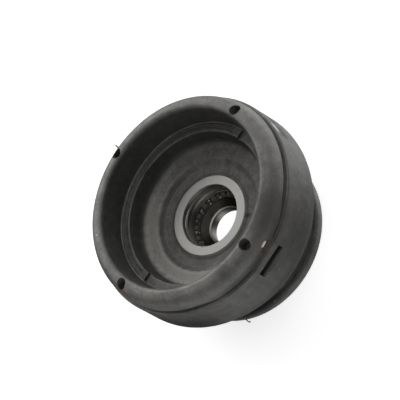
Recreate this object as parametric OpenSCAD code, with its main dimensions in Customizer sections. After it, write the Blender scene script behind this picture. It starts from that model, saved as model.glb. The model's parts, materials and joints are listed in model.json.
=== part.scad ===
// Strut top mount: a moulded rubber cup with steel inserts and a ball bearing.
// Millimetres. Z runs along the bearing axis towards the open cup, z = 0 is the flange's back.

/* [Rubber body, along the axis] */
// Thickness of the back flange
flange_t = 7; // [6:0.2:9]
// Length of the neck between the flange and the drum
neck_h = 13.5; // [11:0.1:17]
// Length of the drum, from its back edge to the narrow groove
drum_h = 35.5; // [31:0.2:39]
// Width of the narrow groove between drum and rim
groove_w = 2.3; // [1.5:0.1:3]
// Height of the rim above the groove
rim_h = 9.7; // [8.8:0.1:11.5]
// Fall of the rim's top, from the mouth out to the shoulder
rim_fall = 1.2; // [0.5:0.1:2]
// Depth of the cup, from the rim to its floor
cup_depth = 28.2; // [25:0.2:31]
// Depth of the ledge, from the rim
ledge_depth = 16.3; // [14.5:0.1:18]
// Depth of the sunken ring round the bearing, below the cup's floor
sunken_depth = 2.6; // [1.5:0.1:3.5]

/* [Rubber body, across the axis] */
// Diameter of the cup's mouth
mouth_d = 98.2; // [94:0.2:104]
// Wall of the rim, from the mouth to the rim's widest place
rim_wall = 9.8; // [9.4:0.1:11.5]
// Lean of the rim's outside, in degrees
rim_lean = 16; // [10:0.5:18]
// Rounding of the rim's shoulder
rim_round = 6.5; // [5:0.5:8]
// Rounding of the mouth's edge
mouth_round = 2.4; // [1.5:0.1:3]
// How far the drum's crown stands out past the rim
drum_proud = 1.7; // [0.8:0.1:2.2]
// Fall of the drum from its crown to its front edge
drum_fall = 0.7; // [0.4:0.1:1.5]
// Fall of the drum from its crown to its back edge
drum_back_fall = 6.8; // [4.5:0.1:7]
// Distance of the drum's crown from its back edge
crown_h = 13; // [12:0.5:18]
// Rounding of the drum's back edge
drum_back_round = 8; // [5:0.5:9]
// Depth of the narrow groove
groove_depth = 3; // [2:0.1:3.4]
// Draft of the cup's wall, from the mouth to the ledge
cup_draft = 1.7; // [1:0.1:2.5]
// Width of the ledge
ledge_w = 5.4; // [4:0.1:7]
// Draft of the step below the ledge
step_draft = 0.8; // [0.4:0.1:1.5]
// Rounding where the step meets the floor
step_round = 5; // [3:0.5:7]
// Diameter of the neck
neck_d = 88; // [84:0.5:92]
// Diameter of the back flange
flange_d = 95.2; // [93:0.2:100]
// Diameter of the opening in the back
back_d = 56; // [54:0.5:62]
// Flat of the sunken ring, outside the bearing
sunken_flat = 5.9; // [4:0.1:7]
// Flank of the sunken ring, up to the cup's floor
sunken_flank = 3.9; // [2.5:0.1:5]

/* [Holes, slots and ridges] */
// Number of holes in the rim, and of slots in the drum below them
hole_count = 4; // [2:1:6]
// Diameter of a rim hole
hole_d = 6; // [4:0.1:7]
// Depth of a rim hole, down to the steel shell
hole_depth = 7; // [6:0.1:7.2]
// Distance of a rim hole's axis from the mouth's edge
hole_inset = 4.1; // [3.6:0.1:4.6]
// Width of a short drum slot
slot_w = 17.4; // [12:0.2:20]
// Angle that a long drum slot takes up, in degrees
slot_span = 45; // [30:1:58]
// Height of a drum slot
slot_h = 3.6; // [2:0.1:5]
// Ramp at the lower edge of a drum slot
slot_ramp = 2; // [1:0.1:2.5]
// Height of the bar between a drum slot and the groove
bar_h = 5; // [3.5:0.1:6]
// Depth of the flat on the bar, below the drum's front edge
bar_flat = 0.7; // [0.4:0.1:1.2]
// Width of a ledge notch
notch_w = 3; // [1.5:0.1:4]
// Depth of a ledge notch
notch_depth = 1.8; // [1:0.1:3]
// Length of a ledge notch, from the ledge's inner edge
notch_l = 4.8; // [3:0.1:5]
// Height of the fine ridges along the ledge's edges
ridge_h = 0.45; // [0.3:0.05:0.7]

/* [Steel inserts] */
// Thickness of the shell's sheet
shell_t = 2.5; // [1.5:0.1:3]
// How far the shell's lip reaches past the rim holes
lip_over = 1.4; // [0.8:0.1:1.6]
// Distance of the shell's lower edge from the drum's back
shell_inset = 5; // [3:0.5:10]
// Thickness of the bearing housing's sheet
housing_t = 2; // [1.2:0.1:2.5]
// How far the housing's foot reaches in under the bearing's outer ring
foot_l = 3; // [2:0.1:3.5]
// Rubber over the housing's upper edge
cover_t = 1.5; // [0.8:0.1:2.5]
// Room between the rubber's lip and the outer ring
lip_gap = 0.05; // [0.02:0.01:0.2]
// Rubber lip under the housing's foot
under_t = 2; // [1:0.1:3]

/* [Bearing] */
// Outside diameter of the outer ring
ring_od = 45.2; // [43:0.2:48]
// Bore of the outer ring at its face
ring_bore = 34.2; // [33.4:0.1:36]
// Height of the outer ring
ring_h = 22; // [20:0.5:25]
// How far the outer ring's face stands above the sunken ring
ring_proud = 0.8; // [0.2:0.1:1.5]
// Depth of the outer ring's inner lip, below its face
lip_depth = 3.6; // [2.5:0.1:5]
// Diameter inside that lip
lip_d = 32.4; // [31.8:0.1:33]
// Number of balls
ball_count = 16; // [12:1:16]
// Diameter of a ball
ball_d = 4.6; // [4.3:0.1:4.8]
// Diameter of the circle through the balls' centres
ball_circle_d = 34; // [33.4:0.1:34.6]
// Direction of the first ball round the axis, in degrees
ball_phase = 4.5; // [0:0.5:22]
// Depth of the balls' centres below the outer ring's face
ball_depth = 13; // [11:0.1:14]
// Running clearance round a ball
ball_clear = 0.1; // [0.05:0.01:0.15]
// Running clearance between the cage and the rings
cage_clear = 0.35; // [0.3:0.05:0.5]
// Wall of the cage
cage_t = 1; // [0.8:0.05:1.2]
// Diameter of the rod's hole in the inner ring
rod_d = 20.6; // [18:0.1:22]
// Height of the inner ring below the balls' centres
inner_h = 11; // [9:0.1:12]
// Depth of the inner ring's dish, down to the rod's hole
dish_depth = 3; // [2:0.1:4]
// Chamfer of the rod's hole in the dish
rod_chamfer = 0.6; // [0.3:0.05:1]
// Chamfer of the rod's hole at the back
rod_back_chamfer = 1.2; // [0.5:0.1:1.6]

/* [Worn place on the rim] */
// Direction of the worn place round the axis, in degrees
nick_angle = -85; // [-180:1:180]
// Length of the worn place
nick_l = 5; // [3.5:0.1:6.5]
// Width of the worn place
nick_w = 3; // [2:0.1:3.4]

/* [Hidden] */
$fn = 96;
// Corners in one rounding of a profile
arc_steps = 6;
// Share of an edge that the roundings at its ends may take together
edge_share = 0.98;
// Overlap that keeps cuts clear of coincident faces
eps = 1;

// Heights that follow from the driving sizes
drum_back_z = flange_t + neck_h;
drum_front_z = drum_back_z + drum_h;
rim_z = drum_front_z + groove_w;
body_h = rim_z + rim_h;
floor_z = body_h - cup_depth;
ledge_z = body_h - ledge_depth;
sunken_z = floor_z - sunken_depth;
ring_top_z = sunken_z + ring_proud;
ring_bottom_z = ring_top_z - ring_h;
housing_top_z = sunken_z - cover_t;
housing_bottom_z = ring_bottom_z - housing_t;
ball_z = ring_top_z - ball_depth;
inner_bottom_z = ball_z - inner_h;
shell_top_z = body_h - hole_depth;
shell_bottom_z = drum_back_z + shell_inset;
slot_top_z = drum_front_z - bar_h;

// Radii that follow from the driving sizes
mouth_r = mouth_d / 2;
rim_r = mouth_r + rim_wall;
shoulder_r = rim_r - (rim_h - rim_fall) * tan(rim_lean);
drum_r = rim_r + drum_proud;
drum_front_r = drum_r - drum_fall;
drum_back_r = drum_r - drum_back_fall;
groove_r = drum_front_r - groove_depth;
ledge_out_r = mouth_r - cup_draft;
ledge_in_r = ledge_out_r - ledge_w;
ring_r = ring_od / 2;
sunken_r = ring_r + sunken_flat;
sunken_edge_r = sunken_r + sunken_flank;
housing_r = ring_r + housing_t;
foot_r = ring_r - foot_l;
under_r = foot_r + foot_l / 2;
back_r = back_d / 2;
hole_r = mouth_r + hole_inset;
shell_in_r = hole_r - shell_t / 2;
shell_out_r = hole_r + shell_t / 2;
shell_lip_r = hole_r + hole_d / 2 + lip_over;

// Bearing radii
ball_r = ball_d / 2;
race_r = ball_r + ball_clear;
ball_circle_r = ball_circle_d / 2;
rod_r = rod_d / 2;
outer_wall_r = ball_circle_r + ball_r - ball_clear;
cage_out_r = outer_wall_r - cage_clear;
cage_in_r = cage_out_r - cage_t;
inner_wall_r = cage_in_r - cage_clear;

// Roundings of the rubber and the steel
edge_round = 1;
soft_round = 2.2;
floor_round = 4;
crown_round = 15;
hollow_round = 4;
steel_round = 0.5;

// Height of the groove's flanks, as a share of its width
flank_share = 0.3;
// Reach and height of the outer ring's edge over the balls, as shares of the raceway's radius
over_share = 0.2;
over_rise_share = 0.9;
// Fall of the inner ring's shoulder below the balls' centres, as a share of the raceway's radius
shoulder_share = 0.4;
// Place of the worn cut outside and below the shell's lip, as shares of its radius
nick_out_share = 0.67;
nick_low_share = 1.05;

ball_names = [for (i = [1:ball_count]) str("ball_", i < 10 ? "0" : "", i)];
body_names = ["rubber_body", "shell_ring", "bearing_housing"];

rubber_colour = "#3a3a3a";
shell_colour = "#8d9094";
ring_colour = "#b9bab8";
inner_colour = "#6f655c";
cage_colour = "#2c2a28";
ball_colour = "#c9ccd0";

// Direction of a vector, at length one
function unit(v) = v / norm(v);

// Point i of a closed path, without its rounding
function at(path, i) = let (n = len(path), p = path[(i + n) % n]) [p.x, p.y];

// Half of the angle between the two edges that meet at point i
function half_angle(path, i) =
    acos(unit(at(path, i - 1) - at(path, i)) * unit(at(path, i + 1) - at(path, i))) / 2;

// How far the rounding at point i reaches along each of its edges
function reach(path, i) = path[(i + len(path)) % len(path)].z / tan(half_angle(path, i));

// Share of its rounding that point i can have before it meets the next one along the edge
function share(path, i, step) =
    let (wanted = reach(path, i) + reach(path, i + step))
    wanted == 0 ? 1 : min(1, edge_share * norm(at(path, i + step) - at(path, i)) / wanted);

// Points of the rounding at point i; the third number of the point is its radius
function corner(path, i) =
    let (
        here = at(path, i),
        back = unit(at(path, i - 1) - here),
        on = unit(at(path, i + 1) - here),
        half = half_angle(path, i),
        radius = path[i].z * min(share(path, i, -1), share(path, i, 1)),
        centre = here + unit(back + on) * radius / sin(half),
        start = here + back * radius / tan(half) - centre,
        turn = sign(cross(-back, on)) * (180 - 2 * half) / arc_steps,
        from = atan2(start.y, start.x),
        angles = [for (k = [0:arc_steps]) from + turn * k]
    )
    path[i].z == 0 ? [here] : [for (angle = angles) centre + radius * [cos(angle), sin(angle)]];

// Closed outline through points [radius, height, rounding]
function rounded(path) = [for (i = [0:len(path) - 1]) each corner(path, i)];

// Places its children at each of the rim's holes
module at_holes() {
    for (i = [0:hole_count - 1]) rotate([0, 0, i * 360 / hole_count]) children();
}

// Solid of revolution of the rubber, before anything is let into it
module rubber_form() {
    rotate_extrude() polygon(rounded([
        [back_r, 0, edge_round],
        [flange_d / 2, 0, soft_round],
        [flange_d / 2, flange_t, soft_round],
        [neck_d / 2, flange_t, soft_round],
        [neck_d / 2, drum_back_z - soft_round, soft_round],
        [drum_back_r, drum_back_z, drum_back_round],
        [drum_r, drum_back_z + crown_h, crown_round],
        [drum_front_r, drum_front_z, edge_round],
        [groove_r, drum_front_z + groove_w * flank_share, 0],
        [groove_r, rim_z - groove_w * flank_share, 0],
        [rim_r, rim_z, soft_round],
        [shoulder_r, body_h - rim_fall, rim_round],
        [mouth_r, body_h, mouth_round],
        [ledge_out_r, ledge_z, edge_round],
        [ledge_in_r, ledge_z, edge_round],
        [ledge_in_r - step_draft, floor_z, step_round],
        [sunken_edge_r, floor_z, floor_round],
        [sunken_r, sunken_z, floor_round],
        [ring_r + lip_gap, sunken_z, 0],
        [ring_r + lip_gap, housing_bottom_z, 0],
        [under_r, housing_bottom_z, 0],
        [under_r, housing_bottom_z - under_t, edge_round / 2],
        [housing_r, housing_bottom_z - under_t, edge_round],
    ]));
}

// Steel shell: a tube with a lip turned out under the rim's holes
module shell_form() {
    rotate_extrude() polygon(rounded([
        [shell_in_r, shell_bottom_z, 0],
        [shell_out_r, shell_bottom_z, 0],
        [shell_out_r, shell_top_z - shell_t, steel_round],
        [shell_lip_r, shell_top_z - shell_t, 0],
        [shell_lip_r, shell_top_z, 0],
        [shell_in_r, shell_top_z, 0],
    ]));
}

// Bearing housing: a sheet cup with a foot turned in under the outer ring
module housing_form() {
    rotate_extrude() polygon(rounded([
        [foot_r, housing_bottom_z, 0],
        [housing_r, housing_bottom_z, steel_round],
        [housing_r, housing_top_z, 0],
        [ring_r, housing_top_z, 0],
        [ring_r, ring_bottom_z, 0],
        [foot_r, ring_bottom_z, 0],
    ]));
}

// Hole in the rim, down to the shell's lip
module rim_hole() {
    translate([hole_r, 0, shell_top_z]) cylinder(d = hole_d, h = hole_depth + eps);
}

// Section of a drum slot: square against the bar, ramped at its lower edge
module slot_section() {
    low_z = slot_top_z - slot_h;
    polygon([
        [hole_r, low_z],
        [drum_r - slot_ramp, low_z],
        [drum_r + eps, low_z - slot_ramp - eps],
        [drum_r + eps, slot_top_z],
        [hole_r, slot_top_z],
    ]);
}

// Short slot, in to the shell, with a flat on the bar above it
module short_slot() {
    rotate([90, 0, 0]) linear_extrude(height = slot_w, center = true) slot_section();
    translate([drum_front_r - bar_flat, -slot_w / 2, slot_top_z - slot_h / 2])
        cube([drum_r - drum_front_r + bar_flat + eps, slot_w, slot_h / 2 + bar_h + groove_w / 2]);
}

// Long slot, bent round the drum
module long_slot() {
    rotate([0, 0, -slot_span / 2]) rotate_extrude(angle = slot_span) slot_section();
}

// Slots in the drum below the rim's holes, long and short by turns
module drum_slots() {
    turn = 360 / hole_count;
    for (i = [0:2:hole_count - 1]) rotate([0, 0, i * turn]) long_slot();
    for (i = [1:2:hole_count - 1]) rotate([0, 0, i * turn]) short_slot();
}

// Notch across the inner edge of the ledge
module ledge_notch() {
    translate([ledge_in_r - eps, -notch_w / 2, ledge_z - notch_depth])
        cube([notch_l + eps, notch_w, notch_depth + eps]);
}

// Fine ridges along both edges of the ledge, on the half between the two notches
module ledge_ridges() {
    gap = 2 * notch_w / ledge_in_r * 180 / PI;
    for (r = [ledge_in_r + edge_round + ridge_h, ledge_out_r - edge_round - ridge_h])
        rotate([0, 0, gap]) rotate_extrude(angle = 180 - 2 * gap)
            translate([r, ledge_z]) circle(r = ridge_h);
}

// Place on the rim where the rubber is worn through to the shell's lip
module worn_nick() {
    radius = nick_w / 2;
    reach = nick_l / 2 - radius;
    out = shell_lip_r + radius * nick_out_share;
    rotate([0, 0, nick_angle]) translate([out, 0, shell_top_z - radius * nick_low_share]) {
        rotate([90, 0, 0]) cylinder(r = radius, h = 2 * reach, center = true);
        for (side = [-1, 1]) translate([0, side * reach, 0]) sphere(r = radius);
    }
}

module rubber_body() {
    color(rubber_colour) {
        difference() {
            rubber_form();
            shell_form();
            housing_form();
            at_holes() rim_hole();
            drum_slots();
            for (side = [0, 180]) rotate([0, 0, side]) ledge_notch();
            worn_nick();
        }
        ledge_ridges();
    }
}

module shell_ring() {
    color(shell_colour) shell_form();
}

module bearing_housing() {
    color(shell_colour) housing_form();
}

// Circle of the raceway, in the section through the bearing's axis
module race_section() {
    translate([ball_circle_r, ball_z]) circle(r = race_r);
}

module outer_ring() {
    over_z = ball_z + race_r * over_rise_share;
    over_r = ball_circle_r - race_r * over_share;
    lip_z = ring_top_z - lip_depth;
    hollow_r = ring_bore / 2 + steel_round;
    color(ring_colour) rotate_extrude() difference() {
        polygon(rounded([
            [ring_r, ring_bottom_z, steel_round],
            [ring_r, ring_top_z, steel_round],
            [ring_bore / 2, ring_top_z, steel_round],
            [ring_bore / 2, lip_z + steel_round, 0],
            [lip_d / 2, lip_z, steel_round / 2],
            [hollow_r, (lip_z + over_z) / 2, hollow_round],
            [over_r, over_z, 0],
            [over_r, ball_z, 0],
            [outer_wall_r, ball_z, 0],
            [outer_wall_r, ring_bottom_z, steel_round],
        ]));
        race_section();
    }
}

module inner_ring() {
    shoulder_z = ball_z - race_r * shoulder_share;
    shoulder_in_r = ball_circle_r - race_r;
    dish_z = shoulder_z - dish_depth;
    color(inner_colour) rotate_extrude() difference() {
        polygon(rounded([
            [rod_r + rod_back_chamfer, inner_bottom_z, 0],
            [inner_wall_r, inner_bottom_z, steel_round],
            [inner_wall_r, shoulder_z, 0],
            [shoulder_in_r, shoulder_z, 0],
            [rod_r + rod_chamfer, dish_z, steel_round / 2],
            [rod_r, dish_z - rod_chamfer, 0],
            [rod_r, inner_bottom_z + rod_back_chamfer, 0],
        ]));
        race_section();
    }
}

// Crown cage: a plain ring below the balls, with a web between each two
module ball_cage() {
    web_in_r = ball_circle_r - ball_r / 2;
    web_low_z = ball_z - ball_r / 2;
    web_top_z = ball_z + cage_t;
    base_z = ball_z - race_r - 2 * cage_t;
    color(cage_colour) difference() {
        rotate_extrude() polygon([
            [cage_in_r, base_z],
            [cage_out_r, base_z],
            [cage_out_r, web_top_z],
            [web_in_r, web_top_z],
            [web_in_r, web_low_z],
            [cage_in_r, web_low_z],
        ]);
        for (i = [0:ball_count - 1]) at_ball(i) sphere(r = race_r);
    }
}

// Places its children at the centre of one ball
module at_ball(i) {
    rotate([0, 0, ball_phase + i * 360 / ball_count]) translate([ball_circle_r, 0, ball_z]) children();
}

module ball(i) {
    color(ball_colour) at_ball(i) sphere(d = ball_d);
}

rubber_body();
shell_ring();
bearing_housing();
outer_ring();
inner_ring();
ball_cage();
for (i = [0:ball_count - 1]) ball(i);
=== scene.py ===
# Strut mount: finish, wear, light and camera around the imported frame
import json
import math
from collections import namedtuple

import bmesh
import bpy
from mathutils import Matrix, Vector


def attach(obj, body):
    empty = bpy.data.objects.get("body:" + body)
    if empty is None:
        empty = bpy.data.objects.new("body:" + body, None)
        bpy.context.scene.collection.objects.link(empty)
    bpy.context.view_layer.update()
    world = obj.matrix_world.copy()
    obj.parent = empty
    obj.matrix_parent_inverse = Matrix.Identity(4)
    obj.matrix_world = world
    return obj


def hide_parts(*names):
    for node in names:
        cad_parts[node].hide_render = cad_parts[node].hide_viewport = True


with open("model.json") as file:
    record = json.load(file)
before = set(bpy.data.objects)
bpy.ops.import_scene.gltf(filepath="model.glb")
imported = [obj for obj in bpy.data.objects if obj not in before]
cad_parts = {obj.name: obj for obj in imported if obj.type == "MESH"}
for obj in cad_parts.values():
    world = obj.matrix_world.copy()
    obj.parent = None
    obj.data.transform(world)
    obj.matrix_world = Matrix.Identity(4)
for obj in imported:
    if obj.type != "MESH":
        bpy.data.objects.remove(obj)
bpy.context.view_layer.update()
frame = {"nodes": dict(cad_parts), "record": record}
nodes = frame["nodes"]

MM = 0.001

# Angle between faces, in degrees, past which an edge stays sharp
SHARP = 32.0

# Points that lie nearer than this, in metres, are one point
WELD = 2e-6

# Steps of a ring round the axis, sides of a thread, and a direction that no thread runs in
RING_STEPS = 360
THREAD_SIDES = 8
THREAD_ACROSS = Vector((0.83, -0.4, 0.38))

# Camera, in the part's frame, with its lens and sensor in millimetres
CAMERA_AT = Vector((38.387, -539.147, 683.812)) * MM
CAMERA_RIGHT = Vector((0.54579, -0.62322, -0.5601))
CAMERA_UP = Vector((0.83693, 0.43798, 0.32822))
CAMERA_BACK = Vector((0.04076, -0.6479, 0.76063))
LENS = 144.0
SENSOR = 36.0
CLIP_START = 0.01

# Heights on the part, in millimetres
FLANGE_T = 7.0
DRUM_BACK = 20.5
DISH_Z = 21.04
SUNKEN_Z = 37.2
RING_TOP = 38.0
FLOOR_Z = 39.8
SLOT_LOW = 46.9
SLOT_TOP = 51.4
LEDGE_Z = 51.7
DRUM_FRONT = 56.0

# Rod's hole and its chamfer, in millimetres
ROD_R = 10.3
CHAMFER_W = 0.66
CHAMFER_H = 0.62
WALL_SLACK = 0.03

# Radii, in millimetres, that tell one surface of the part from the next
RING_MID = 20.0
RING_SIDE = 22.5
SUNKEN_R = 31.0
FLANK_R = 33.0
LEDGE_INNER = (42.0, 42.5)
LEDGE_OUTER = (46.9, 47.3)
LEDGE_R = 48.0
FLANGE_EDGE = (46.6, 47.75)
NECK_R = 48.5
OUTSIDE_R = 50.0
SEAM_R = 58.9
SLOT_R = 59.75

# Directions round the axis, in degrees: most painted shade on the flank, most painted light on the sunken
# ring, and the side the mount lay on, where contact shade is painted
FLANK_SHADED = 131.3
SUNKEN_LIT = 28.0
LAY_ON = -150.0

# Place of the worn spot on the rim
NICK_ANGLE = math.radians(-85)
NICK_R = 58.0
NICK_Z = 59.6
NICK_AT = Vector((NICK_R * math.cos(NICK_ANGLE), NICK_R * math.sin(NICK_ANGLE), NICK_Z))

# Stretches of the seam, in degrees from the worn spot: middle, half width and where it has ended
SEAM_SHUT = (-4.5, 6.5, 11.5)
SEAM_NARROW = (-11.0, 24.0, 38.0)
SPOT_CLEAR = (0.0, 2.7, 3.9)

# Colours of the rubber, of what lies on it, and of painted shade in slots, seam and where the mount lay
RUBBER_DARK = (0.017, 0.0166, 0.0154)
RUBBER_PALE = (0.031, 0.0303, 0.0281)
GRAIN = (0.05, 0.049, 0.046)
DUST_THIN = (0.25, 0.244, 0.228)
DUST_THICK = (0.31, 0.303, 0.284)
HOLLOW_SHADE_COLOUR = (0.019, 0.0185, 0.0175)
PAINTED_SHADE_COLOUR = (0.004, 0.0039, 0.0036)
SPECK = (0.3, 0.295, 0.28)
RUST = (0.07, 0.046, 0.038)

# Single marks on the rubber: place, size, share and colour
MARKS = {
    "gouge": ((11.4, -21.4, 37.4), 1.5, 0.9, (0.012, 0.012, 0.011)),
    "gouge_end": ((12.6, -22.2, 37.3), 1.1, 0.8, (0.012, 0.012, 0.011)),
    "fleck_left": ((-41.0, 32.3, 67.5), 0.6, 0.9, (0.55, 0.54, 0.52)),
    "fleck_front": ((-14.2, -47.2, 66.7), 0.55, 0.8, (0.45, 0.44, 0.42)),
    "rust_at_hole": ((-54.3, -4.9, 66.7), 1.9, 0.5, (0.2, 0.12, 0.1)),
    "rust_on_top": ((11.0, -53.4, 66.7), 2.2, 0.35, (0.1, 0.08, 0.07)),
    "stain_on_side": ((24.0, -53.0, 61.5), 15.0, 0.6, (0.03, 0.027, 0.024)),
    "stain_on_top": ((15.5, -50.5, 67.0), 14.0, 0.45, (0.035, 0.032, 0.029)),
}

# Bright lines in the outer ring's bore, a scratched line and a painted glint on the lip: middle and reach,
# and half their width
SCRATCH_AND_GLINT = [((-8.8, 14.7, 35.0), 6.0), ((14.4, 9.3, 28.6), 5.0)]
BRIGHT_LINE_HALF = 0.14

# Reach of the floor, and radius and sides of its glowing white spot, painted light under the part, in metres
FLOOR_REACH = 6.0
SPOT_R = 0.024
SPOT_SIDES = 48

# Studio lights: azimuth and elevation in degrees, and strength
LIGHTS = {
    "above_front": (300, 55, 1.1),
    "low_front": (240, -35, 3.4),
    "behind": (90, 25, 5.8),
    "right": (30, -5, 5.2),
    "right_high": (0, 25, 2.9),
    "right_low": (0, -35, 3.4),
    "left": (180, -5, 2.0),
    "left_high": (225, 25, 2.3),
}
LIGHT_FALL = 12.0

# Sockets of the Mix node: its share and two colours, and the result
MIX_INPUTS = (0, 6, 7)
MIX_RESULT = 2

Place = namedtuple("Place", "at x y z radius")


class Nodes:
    """A node tree with helpers to add to it."""

    def __init__(self, tree):
        self.tree = tree

    def feed(self, socket, value):
        if isinstance(value, bpy.types.NodeSocket):
            self.tree.links.new(value, socket)
        elif socket.type == "RGBA":
            socket.default_value = (*value, 1.0)
        else:
            socket.default_value = value

    def add(self, kind, inputs=None, **settings):
        made = self.tree.nodes.new("ShaderNode" + kind)
        for key, value in settings.items():
            setattr(made, key, value)
        for key, value in (inputs or {}).items():
            self.feed(made.inputs[key], value)
        return made

    def math(self, operation, *values):
        made = self.add("Math", operation=operation)
        for socket, value in zip(made.inputs, values):
            self.feed(socket, value)
        return made.outputs[0]

    def product(self, first, *others):
        for other in others:
            first = self.math("MULTIPLY", first, other)
        return first

    def line(self, value, slope, start):
        return self.math("MULTIPLY_ADD", value, slope, start)

    def below(self, value, limit):
        return self.math("LESS_THAN", value, limit)

    def above(self, value, limit):
        return self.math("GREATER_THAN", value, limit)

    def between(self, value, low, high, other=0.0):
        """One where value lies between low and high, other elsewhere."""
        made = self.product(self.above(value, low), self.below(value, high))
        return self.math("MAXIMUM", made, other)


class Shader(Nodes):
    """A principled material, with helpers that measure in millimetres."""

    def __init__(self, name):
        self.material = bpy.data.materials.new(name)
        self.material.use_nodes = True
        super().__init__(self.material.node_tree)
        self.bsdf = self.tree.nodes["Principled BSDF"]

    def place(self):
        """Object coordinates and the distance from the axis."""
        at = self.add("TexCoord").outputs["Object"]
        at = self.add("VectorMath", {0: at, "Scale": 1.0 / MM}, operation="SCALE").outputs[0]
        x, y, z = self.add("SeparateXYZ", {0: at}).outputs
        radius = self.math("SQRT", self.math("ADD", self.product(x, x), self.product(y, y)))
        return Place(at, x, y, z, radius)

    def towards(self, place, angle):
        """Distance from the axis towards an angle in degrees."""
        turn = math.radians(angle)
        return self.line(place.x, math.cos(turn), self.product(place.y, math.sin(turn)))

    def near(self, place, point, full, gone):
        """One within full of a point, nought past gone."""
        far = self.add("VectorMath", {0: place.at, 1: tuple(point)}, operation="DISTANCE").outputs["Value"]
        made = {"Value": far, "From Min": full, "From Max": gone, "To Min": 1.0, "To Max": 0.0}
        return self.add("MapRange", made).outputs["Result"]

    def noise(self, at, scale, detail, rough=0.6):
        made = self.add("TexNoise", {"Vector": at, "Scale": scale, "Detail": detail, "Roughness": rough})
        return made.outputs["Fac"]

    def streaks(self, place, round_scale, across):
        """Noise that runs round the axis, without a seam."""
        cosine = self.product(self.math("DIVIDE", place.x, place.radius), round_scale)
        sine = self.product(self.math("DIVIDE", place.y, place.radius), round_scale)
        third = self.product(self.math("ADD", place.radius, place.z), across)
        return self.noise(self.add("CombineXYZ", {0: cosine, 1: sine, 2: third}).outputs[0], 1.0, 3.0)

    def ramp(self, share, *stops):
        """A line through stops of share, from nought to one, and colour or grey."""
        made = self.add("ValToRGB", {0: share})
        elements = made.color_ramp.elements
        while len(elements) < len(stops):
            elements.new(0.5)
        for element, (where, colour) in zip(elements, stops):
            element.position = where
            element.color = (*colour, 1.0) if isinstance(colour, tuple) else (colour, colour, colour, 1.0)
        return made.outputs["Color"]

    def graph(self, value, *stops):
        """A line through stops of value and colour or grey, level past both ends."""
        first, last = stops[0][0], stops[-1][0]
        share = self.add("MapRange", {"Value": value, "From Min": first, "From Max": last}).outputs["Result"]
        return self.ramp(share, *[((where - first) / (last - first), colour) for where, colour in stops])

    def mix(self, share, under, over):
        made = self.add("Mix", data_type="RGBA")
        for socket, value in zip(MIX_INPUTS, (share, under, over)):
            self.feed(made.inputs[socket], value)
        return made.outputs[MIX_RESULT]

    def bump(self, height, strength, depth, under=None):
        made = self.add("Bump", {"Height": height, "Strength": strength, "Distance": depth})
        if under is not None:
            self.feed(made.inputs["Normal"], under)
        return made.outputs["Normal"]

    def finish(self, **inputs):
        for key, value in inputs.items():
            self.feed(self.bsdf.inputs[key.replace("_", " ")], value)
        return self.material


def settled_dust_and_light(s, place):
    """Dust on what faces up, with painted light and shade on the ledge, the sunken ring and its flank, and on
    the cup's floor a paler side towards -x that is both a thicker layer of it and painted light.
    """
    x, y, z, radius = place[1:]
    facing = s.add("SeparateXYZ", {0: s.add("TexCoord").outputs["Normal"]}).outputs[2]
    high = s.math("MAXIMUM", s.above(z, DRUM_BACK), 0.12)
    lying_and_light = s.product(s.ramp(facing, (0.6, 0.0), (0.97, 0.6)), high)
    # The cup's floor is paler towards -x: a thicker layer and painted light
    floor = s.between(z, FLOOR_Z - 0.8, FLOOR_Z + 2.0, 0.15)
    drift_and_light = s.product(s.graph(x, (-28, 1.6), (16, 0.1)), floor, lying_and_light)

    # The ledge has less, apart from its inner edge and, on the ridged half, its outer edge, which stay paler,
    # partly as painted edge highlights
    ledge = s.product(s.between(z, LEDGE_Z - 0.4, LEDGE_Z + 0.6), s.below(radius, LEDGE_R))
    ridged = s.line(s.above(y, 0.0), 1.45, -0.45)
    edges = s.math("ADD", s.between(radius, *LEDGE_INNER), s.product(s.between(radius, *LEDGE_OUTER), ridged))
    lying_and_light = s.product(lying_and_light, s.line(ledge, s.math("SUBTRACT", edges, 0.55), 1.0))

    # The sunken ring is paler and its flank darker by direction: painted light and shade
    sunken = s.product(s.between(z, SUNKEN_Z - 1.2, SUNKEN_Z + 0.5), s.below(radius, SUNKEN_R))
    flank = s.product(s.between(z, SUNKEN_Z + 0.5, FLOOR_Z - 0.3), s.below(radius, FLANK_R))
    more = s.math("SUBTRACT", s.graph(s.towards(place, SUNKEN_LIT), (-21, 0.0), (21, 0.6)), 0.3)
    less = s.math("SUBTRACT", s.graph(s.towards(place, FLANK_SHADED), (-3, 0.0), (24, 1.3)), 0.6)
    share = s.math("SUBTRACT", s.line(sunken, more, 1.0), s.product(flank, less))
    return s.product(lying_and_light, share), drift_and_light


def painted_rim_shade(s, place):
    """Painted shade where the rim hangs over the seam, at the front."""
    front = s.graph(place.y, (-57, 1.0), (-50, 0.0))
    height = s.graph(place.z, (54.5, 0.0), (55.8, 1.0), (58, 1.0), (61, 0.0))
    return s.product(front, height, s.above(place.radius, OUTSIDE_R))


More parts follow.
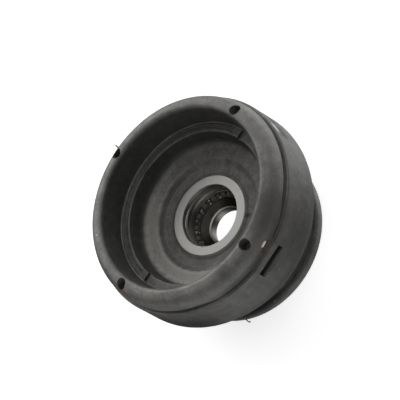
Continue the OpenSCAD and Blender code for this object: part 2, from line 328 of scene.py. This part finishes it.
def outer_bands_and_light(s, place, shade):
    """Paler bands by height on the drum and the rim's side, painted sheen on the drum, painted shade under
    the overhanging rim, and painted light and shade on the flange's edge.
    """
    x, z, radius = place.x, place.z, place.radius
    bands = s.graph(z, (20, 0.07), (27, 0.06), (34, 0.0), (42, 0.02), (52, 0.12), (54.5, 0.11),
                    (55.8, 0.05), (57, 0.06), (61, 0.33), (65, 0.25), (66.8, 0.27), (67.7, 0.4))
    # Painted sheen on the drum, strongest towards +x and weaker higher up
    pale = s.graph(x, (-49, 0.0), (-41, 0.05), (-30, 0.13), (-7.5, 0.06),
                   (25, 0.0), (39, 0.0), (49, 0.22), (56, 0.4))
    pale = s.product(pale, s.graph(z, (40, 1.0), (50, 0.55)), s.between(z, DRUM_BACK, DRUM_FRONT))
    # Painted shade under the overhanging rim thins the bands
    outside = s.product(s.math("ADD", bands, pale), s.line(shade, -0.6, 1.0), s.above(radius, OUTSIDE_R))
    # The flange's edge is paler towards +x and darker towards the neck: painted light and shade
    flange = s.product(s.between(radius, *FLANGE_EDGE), s.below(z, FLANGE_T + 0.2))
    flange = s.product(flange, s.graph(x, (-38, 0.04), (30, 0.3)), s.graph(z, (3, 1.2), (6.5, 0.1)))
    return s.math("MAXIMUM", outside, flange)


def shaded_hollows(s, place):
    """Painted shade in the drum's slots and, half as strong, in the seam under the rim, where the paler layer
    is taken away.
    """
    slots = s.product(s.between(place.z, SLOT_LOW, SLOT_TOP), s.below(place.radius, SLOT_R))
    seam = s.product(s.between(place.z, DRUM_FRONT - 0.1, DRUM_FRONT + 0.65), s.below(place.radius, SEAM_R))
    return s.product(s.math("MAXIMUM", slots, s.product(seam, 0.5)), s.above(place.radius, OUTSIDE_R))


def shade_mask(s, place, shade):
    """Painted shade on the side that the mount lay on, in the neck there and under the rim."""
    lay = s.towards(place, LAY_ON)
    drum = s.product(s.graph(lay, (56.5, 0.0), (60, 1.0)), s.graph(place.z, (42, 1.0), (54, 0.0)))
    drum = s.product(drum, s.above(place.radius, OUTSIDE_R))
    neck = s.product(s.graph(lay, (30, 0.0), (42, 1.0)), s.graph(place.z, (2.8, 0.0), (5.2, 1.0)))
    neck = s.product(neck, s.below(place.radius, NECK_R), s.below(place.z, DRUM_BACK))
    return s.math("MAXIMUM", drum, s.math("MAXIMUM", neck, s.product(shade, 0.5)))


def marked(s, place, patches, colour):
    """A colour with pale specks, rust round the worn spot and the single marks over it."""
    specks = s.add("TexVoronoi", {"Vector": place.at, "Scale": 0.22, "Randomness": 1.0})
    few = s.above(s.add("SeparateColor", {0: specks.outputs["Color"]}).outputs[0], 0.6)
    colour = s.mix(s.product(few, s.below(specks.outputs["Distance"], 0.06), 0.6), colour, SPECK)
    stain = s.product(s.near(place, NICK_AT, 2.4, 7.0), s.ramp(patches, (0.35, 0.15), (0.65, 1.0)), 0.85)
    colour = s.mix(stain, colour, RUST)
    for point, size, share, spot in MARKS.values():
        colour = s.mix(s.product(s.near(place, point, size * 0.5, size), share), colour, spot)
    return colour


def rubber():
    s = Shader("rubber")
    place = s.place()
    clouds = s.noise(place.at, 0.045, 4.0)
    waves = s.noise(place.at, 0.16, 3.0, 0.5)
    patches = s.noise(place.at, 0.2, 5.0, 0.65)
    blots = s.noise(place.at, 0.6, 4.0)
    grain = s.noise(place.at, 2.6, 4.0)
    streaks = s.streaks(place, 3.0, 1.1)
    mottle = s.line(clouds, 0.35, s.product(patches, 0.3))
    mottle = s.line(blots, 0.2, s.line(streaks, 0.15, mottle))

    # Painted shade under the rim, in slots and seam and where the mount lay, over a paler layer with painted
    # light and shade
    shade = painted_rim_shade(s, place)
    hollow_shade = shaded_hollows(s, place)
    lying_and_light, drift_and_light = settled_dust_and_light(s, place)
    dust_and_light = s.math("ADD", s.math("MAXIMUM", lying_and_light, outer_bands_and_light(s, place, shade)), drift_and_light)
    dust_and_light = s.product(dust_and_light, s.ramp(mottle, (0.39, 0.42), (0.61, 1.0)), s.ramp(blots, (0.35, 0.9), (0.65, 1.1)))
    dust_and_light = s.product(dust_and_light, s.line(hollow_shade, -1.0, 1.0))

    bare = s.ramp(patches, (0.4, RUBBER_DARK), (0.65, RUBBER_PALE))
    colour = s.mix(dust_and_light, bare, s.mix(drift_and_light, DUST_THIN, DUST_THICK))
    colour = s.mix(s.ramp(grain, (0.35, 0.0), (0.75, 0.25)), colour, GRAIN)
    colour = s.mix(hollow_shade, colour, HOLLOW_SHADE_COLOUR)
    painted_shade = shade_mask(s, place, shade)
    colour = marked(s, place, patches, s.mix(painted_shade, colour, PAINTED_SHADE_COLOUR))

    normal = s.bump(waves, 0.3, 0.0006)
    normal = s.bump(blots, 0.2, 0.0002, normal)
    normal = s.bump(grain, 0.3, 0.00012, normal)
    normal = s.bump(streaks, 0.2, 0.0002, normal)
    rough = s.line(painted_shade, 0.3, s.line(patches, -0.25, 0.72))
    return s.finish(Base_Color=colour, Roughness=rough, Normal=normal, Specular_IOR_Level=0.45)


def bore_film(s, place, lathe, blotch):
    """The film in the outer ring's bore, with a pale band painted as a highlight, a scratched line and a
    painted glint.
    """
    smear = s.math("ADD", s.product(lathe, 0.6), s.product(blotch, 0.4))
    film = s.ramp(smear, (0.35, (0.1, 0.097, 0.09)), (0.7, (0.21, 0.206, 0.191)))
    # A pale band painted as a highlight on the raceway
    worn = s.graph(place.z, (28.5, 0.0), (30.2, 0.5), (31.8, 0.0))
    film = s.mix(worn, film, (0.28, 0.275, 0.255))
    for point, reach in SCRATCH_AND_GLINT:
        bright_line = s.between(place.z, point[2] - BRIGHT_LINE_HALF, point[2] + BRIGHT_LINE_HALF)
        bright_line = s.product(bright_line, s.near(place, point, reach * 0.6, reach))
        film = s.mix(bright_line, film, (1.0, 0.99, 0.97))
    return film


def ring_steel():
    s = Shader("ring_steel")
    place = s.place()
    lathe = s.streaks(place, 1.5, 7.0)
    blotch = s.noise(place.at, 0.3, 4.0)
    speckle = s.noise(place.at, 3.2, 3.0)
    colour = s.ramp(blotch, (0.3, (0.34, 0.335, 0.32)), (0.7, (0.41, 0.405, 0.39)))
    colour = s.mix(s.product(lathe, 0.22), colour, (0.3, 0.295, 0.28))
    colour = s.mix(s.ramp(speckle, (0.55, 0.0), (0.75, 0.3)), colour, (0.22, 0.215, 0.2))

    # The face is paler towards +y and darker towards -y
    colour = s.mix(s.graph(place.y, (0, 0.0), (20, 0.4)), colour, (0.62, 0.61, 0.59))
    colour = s.mix(s.graph(place.y, (-20, 0.3), (0, 0.0)), colour, (0.2, 0.196, 0.187))

    # The bore has a film, and the side that meets the rubber is pale and not metallic, painted light on a
    # face that lies in shade
    bore = s.product(s.below(place.z, RING_TOP - 0.4), s.below(place.radius, RING_MID))
    colour = s.mix(bore, colour, bore_film(s, place, lathe, blotch))
    side = s.above(place.radius, RING_SIDE)
    colour = s.mix(side, colour, (0.24, 0.235, 0.22))
    rough = s.line(blotch, 0.15, 0.42)
    normal = s.bump(lathe, 0.25, 0.00004)
    return s.finish(Base_Color=colour, Roughness=rough, Normal=normal, Metallic=s.line(side, -1.0, 1.0))


def greased_steel():
    s = Shader("greased_steel")
    place = s.place()
    smear = s.streaks(place, 2.5, 1.4)
    blotch = s.noise(place.at, 0.35, 4.0)
    film = s.math("ADD", s.product(smear, 0.5), s.product(blotch, 0.5))
    colour = s.ramp(film, (0.35, (0.032, 0.029, 0.025)), (0.65, (0.065, 0.058, 0.051)))

    # Painted light and shade in the rod's hole: dark just below its chamfered rim and paler deeper in, with
    # the chamfered rim pale as a painted highlight
    dark, warm, pale = (0.03, 0.029, 0.027), (0.1, 0.094, 0.087), (0.16, 0.152, 0.142)
    depth = s.math("SUBTRACT", DISH_Z, place.z)
    painted_light_down = s.graph(depth, (0.6, dark), (1.3, dark), (2.0, warm), (5.7, pale))
    colour = s.mix(s.below(place.radius, ROD_R + WALL_SLACK), colour, painted_light_down)
    chamfer_highlight = s.between(place.radius, ROD_R + WALL_SLACK, ROD_R + CHAMFER_W)
    chamfer_highlight = s.product(chamfer_highlight, s.above(place.z, DISH_Z - CHAMFER_H))
    colour = s.mix(chamfer_highlight, colour, (0.68, 0.67, 0.65))
    rough = s.line(film, 0.2, 0.28)
    normal = s.bump(smear, 0.2, 0.00008)
    return s.finish(Base_Color=colour, Roughness=rough, Normal=normal, Metallic=0.85)


def insert_steel():
    s = Shader("insert_steel")
    place = s.place()
    blotch = s.noise(place.at, 0.6, 4.0, 0.65)
    coated = s.ramp(blotch, (0.35, (0.09, 0.088, 0.084)), (0.7, (0.17, 0.166, 0.158)))
    bare = s.ramp(blotch, (0.36, (0.3, 0.21, 0.18)), (0.56, (0.88, 0.84, 0.81)))
    worn = s.near(place, NICK_AT, 3.0, 5.0)
    colour = s.mix(worn, coated, bare)
    rough = s.line(blotch, 0.25, 0.35)
    normal = s.bump(blotch, 0.3, 0.0001)
    return s.finish(Base_Color=colour, Roughness=rough, Normal=normal, Metallic=s.product(worn, 0.1))


def ball_steel():
    s = Shader("ball_steel")
    film = s.noise(s.place().at, 0.9, 4.0)
    colour = s.ramp(film, (0.4, (0.3, 0.29, 0.27)), (0.5, (0.06, 0.055, 0.048)))
    rough = s.ramp(film, (0.46, 0.06), (0.56, 0.45))
    return s.finish(Base_Color=colour, Roughness=rough, Metallic=0.5)


def filmed(name, dark, pale, scale, detail, rough, relief):
    """A plain finish whose colour, roughness (slope, start) and relief (strength, depth) follow one noise."""
    s = Shader(name)
    film = s.noise(s.place().at, scale, detail)
    normal = s.bump(film, *relief)
    return s.finish(Base_Color=s.ramp(film, dark, pale), Roughness=s.line(film, *rough), Normal=normal)


def cage_plastic():
    # The cage is paler than its plastic: painted light that lifts the shade between the balls
    dark, pale = (0.3, (0.15, 0.142, 0.125)), (0.7, (0.25, 0.238, 0.21))
    return filmed("cage_plastic", dark, pale, scale=0.8, detail=4.0, rough=(0.3, 0.25), relief=(0.2, 0.0001))


def grease():
    dark, pale = (0.35, (0.06, 0.055, 0.047)), (0.65, (0.11, 0.1, 0.086))
    return filmed("grease", dark, pale, scale=0.7, detail=4.0, rough=(0.3, 0.2), relief=(0.5, 0.0003))


def flash():
    dark, pale = (0.3, (0.012, 0.012, 0.011)), (0.7, (0.03, 0.029, 0.027))
    return filmed("flash", dark, pale, scale=1.5, detail=3.0, rough=(0.2, 0.6), relief=(0.2, 0.0001))


def painted_glint():
    # A pale finish for a painted glint along the drum's front edge
    dark, pale = (0.35, (0.4, 0.39, 0.37)), (0.55, (0.85, 0.84, 0.82))
    return filmed("painted_glint", dark, pale, scale=0.8, detail=4.0, rough=(0.2, 0.4), relief=(0.3, 0.0001))


FINISH = {
    "rubber": rubber(),
    "ring_steel": ring_steel(),
    "greased_steel": greased_steel(),
    "insert_steel": insert_steel(),
    "ball_steel": ball_steel(),
    "cage_plastic": cage_plastic(),
    "grease": grease(),
    "flash": flash(),
    "painted_glint": painted_glint(),
}


def dress(piece, finish):
    piece.data.materials.clear()
    piece.data.materials.append(FINISH[finish])


def shown(name, mesh, work):
    """A new object in the scene with the faces of work, smooth but for its sharp edges."""
    for face in work.faces:
        face.smooth = True
    for edge in work.edges:
        edge.smooth = len(edge.link_faces) == 2 and edge.calc_face_angle(0.0) < math.radians(SHARP)
    work.to_mesh(mesh)
    work.free()
    piece = bpy.data.objects.new(name, mesh)
    bpy.context.scene.collection.objects.link(piece)
    return piece


def smooth_copy(name, node_name, body, slot):
    """The CAD node's own form with its facets joined and evenly shaded."""
    mesh = nodes[node_name].data.copy()
    mesh.name = name
    layer = mesh.attributes.get("custom_normal")
    if layer is not None:
        mesh.attributes.remove(layer)
    work = bmesh.new()
    work.from_mesh(mesh)
    bmesh.ops.remove_doubles(work, verts=work.verts, dist=WELD)
    piece = shown(name, mesh, work)
    even = piece.modifiers.new("even_normals", "WEIGHTED_NORMAL")
    even.keep_sharp = True
    dress(piece, slot)
    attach(piece, body)
    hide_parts(node_name)


for row in frame["record"]["subparts"]:
    dress(nodes[row["node"]], row["material_slot"])
smooth_copy("rubber_skin", "rubber_body", "mount_body", "rubber")
smooth_copy("outer_ring_skin", "outer_ring", "mount_body", "ring_steel")
smooth_copy("inner_ring_skin", "inner_ring", "inner_ring", "greased_steel")


def swept(name, rings, finish, body, closed=False):
    """A solid through rings of points in millimetres, joined round or closed at both ends."""
    work = bmesh.new()
    rows = [[work.verts.new(Vector(point) * MM) for point in ring] for ring in rings]
    for near, far in zip(rows, rows[1:] + rows[:1] if closed else rows[1:]):
        for k in range(len(near)):
            work.faces.new((near[k - 1], near[k], far[k], far[k - 1]))
    if not closed:
        work.faces.new(rows[0])
        work.faces.new(rows[-1])
    bmesh.ops.recalc_face_normals(work, faces=work.faces)
    piece = shown(name, bpy.data.meshes.new(name), work)
    dress(piece, finish)
    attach(piece, body)


def turned(name, profile, finish, body):
    """A ring round the axis; profile gives radius and height, in millimetres, at an angle."""
    rings = []
    for i in range(RING_STEPS):
        turn = NICK_ANGLE - math.pi + math.tau * i / RING_STEPS
        rings.append([(r * math.cos(turn), r * math.sin(turn), z) for r, z in profile(turn)])
    swept(name, rings, finish, body, closed=True)


def thread(name, points, widths, finish="rubber"):
    """A thin thread on the rubber through points, with a width at each."""
    points = [Vector(point) for point in points]
    turns = [k * math.tau / THREAD_SIDES for k in range(THREAD_SIDES)]
    rings = []
    for i, (point, width) in enumerate(zip(points, widths)):
        ahead = (points[min(i + 1, len(points) - 1)] - points[max(i - 1, 0)]).normalized()
        side = ahead.cross(THREAD_ACROSS).normalized()
        other = ahead.cross(side)
        rings.append([point + (side * math.cos(a) + other * math.sin(a)) * width / 2 for a in turns])
    swept(name, rings, finish, "mount_body")


# Flash that the mould left, and a painted glint at the drum's front edge
thread("flash_at_hole",
       [(3.0, 55.2, 65.9), (3.3, 56.2, 67.0), (3.3, 56.8, 67.4)],
       [0.9, 0.7, 0.4], "flash")
thread("flash_on_ledge",
       [(-1.8, 42.3, 51.5), (-0.6, 42.0, 51.9), (0.8, 41.7, 52.1), (2.2, 41.8, 51.7)],
       [0.3, 0.8, 0.9, 0.3])
thread("flash_at_flange",
       [(-35.9, -31.0, 2.6), (-36.2, -32.0, 2.0), (-36.3, -33.0, 1.3), (-35.8, -33.6, 1.4)],
       [0.8, 0.6, 0.65, 0.9], "flash")
thread("painted_glint_on_drum",
       [(57.9, -14.4, 55.6), (57.3, -17.1, 54.6), (56.5, -19.6, 53.5), (55.5, -22.3, 52.6)],
       [0.3, 0.8, 0.8, 0.3], "painted_glint")


def stretch(off, middle, full, gone):
    """One within full degrees of the middle, nought past gone, smooth between."""
    share = min(1.0, max(0.0, (gone - abs(off - middle)) / (gone - full)))
    return share * share * (3.0 - 2.0 * share)


def partway(one, other, share):
    """Points part of the way from one outline to another."""
    return [(a + (c - a) * share, b + (d - b) * share) for (a, b), (c, d) in zip(one, other)]


def rim_edge(turn):
    """The rim's soft lower edge: narrows the seam, shuts it beside the worn spot and stays clear of that."""
    off = math.degrees(turn - NICK_ANGLE)
    shut = stretch(off, *SEAM_SHUT)
    wide = 1.0 - stretch(off, *SEAM_NARROW)
    foot = [(58.72 + 0.6 * shut, 57.0), (58.2 + shut, 56.5 - 0.5 * shut)]
    whole = [(58.26, 60.5), (58.57, 59.4), (58.82, 58.4), (58.9, 57.6), *foot]
    low = [(57.2, 57.9), (57.7, 57.95), (58.3, 57.9), (58.8, 57.5), *foot]
    upper = [(58.26, 60.5), (58.42, 59.8), (58.48, 59.25), (58.4, 58.7), (58.1, 58.2), (57.6, 57.85)]
    outer = partway(partway(whole, low, stretch(off, *SPOT_CLEAR)), upper, wide)
    return [(55.0, outer[0][1] - 0.3), *outer, (57.5, 56.25 + wide), (55.0, 56.25 + wide)]


def ring_lip(turn):
    """The rubber's thin lip against the outer ring, the same at every angle."""
    top = RING_TOP - 0.15
    foot = SUNKEN_Z - 0.1
    return [(22.62, foot), (22.62, top), (22.9, top - 0.05),
            (23.6, SUNKEN_Z + 0.25), (24.6, SUNKEN_Z + 0.03), (24.6, foot)]


def grease_bead(turn):
    """Grease between the balls and the rings."""
    wave = 0.12 * math.sin(7 * turn) + 0.08 * math.sin(19 * turn)
    return [(14.95, 23.9), (15.2, 24.7 + wave), (15.8, 25.5 + wave), (17.0, 25.9),
            (18.6, 25.9), (18.6, 24.7), (15.6, 24.0)]


turned("rim_lower_edge", rim_edge, "rubber", "mount_body")
turned("ring_lip", ring_lip, "rubber", "mount_body")
turned("grease", grease_bead, "grease", "ball_set")


def flat_stage(name, corners, height, shade, glow):
    """A level sheet that the camera sees and the part doesn't."""
    s = Shader(name)
    s.finish(Base_Color=(shade, shade, shade), Roughness=0.9)
    s.finish(Emission_Color=(1.0, 1.0, 1.0), Emission_Strength=glow)
    mesh = bpy.data.meshes.new(name)
    mesh.from_pydata([(x, y, 0.0) for x, y in corners], [], [tuple(range(len(corners)))])
    mesh.materials.append(s.material)
    made = bpy.data.objects.new(name, mesh)
    made.location.z = height
    bpy.context.scene.collection.objects.link(made)
    made.visible_diffuse = False
    made.visible_glossy = False
    made.visible_shadow = False


# Pale floor, and a glowing white spot of it under the rod's hole: painted light that lifts the part's shadow
# there
square = [(-FLOOR_REACH, -FLOOR_REACH), (FLOOR_REACH, -FLOOR_REACH),
          (FLOOR_REACH, FLOOR_REACH), (-FLOOR_REACH, FLOOR_REACH)]
disc = [(SPOT_R * math.cos(i * math.tau / SPOT_SIDES), SPOT_R * math.sin(i * math.tau / SPOT_SIDES))
        for i in range(SPOT_SIDES)]
flat_stage("floor", square, height=-0.0002, shade=0.6, glow=0.68)
flat_stage("painted_light_spot", disc, height=0.0001, shade=0.0, glow=1.0)


def studio():
    """Soft lights all round, each fading with the angle from its direction."""
    made = bpy.data.worlds.new("studio")
    made.use_nodes = True
    n = Nodes(made.node_tree)
    at = n.add("TexCoord").outputs["Generated"]
    total = 0.0
    for azimuth, elevation, strength in LIGHTS.values():
        turn, lift = math.radians(azimuth), math.radians(elevation)
        way = (math.cos(turn) * math.cos(lift), math.sin(turn) * math.cos(lift), math.sin(lift))
        facing = n.add("VectorMath", {0: at, 1: way}, operation="DOT_PRODUCT").outputs["Value"]
        lobe = n.math("POWER", n.math("MAXIMUM", facing, 0.0), LIGHT_FALL)
        total = n.line(lobe, strength, total)
    background = n.tree.nodes["Background"]
    n.feed(background.inputs["Color"], (1.0, 1.0, 1.0))
    n.feed(background.inputs["Strength"], total)
    bpy.context.scene.world = made


def camera():
    lens = bpy.data.cameras.new("camera")
    lens.lens = LENS
    lens.sensor_width = SENSOR
    lens.clip_start = CLIP_START
    made = bpy.data.objects.new("camera", lens)
    axes = Matrix((CAMERA_RIGHT, CAMERA_UP, CAMERA_BACK)).transposed().to_4x4()
    made.matrix_world = Matrix.Translation(CAMERA_AT) @ axes
    bpy.context.scene.collection.objects.link(made)
    bpy.context.scene.camera = made


studio()
camera()
bpy.context.scene.view_settings.view_transform = "Standard"
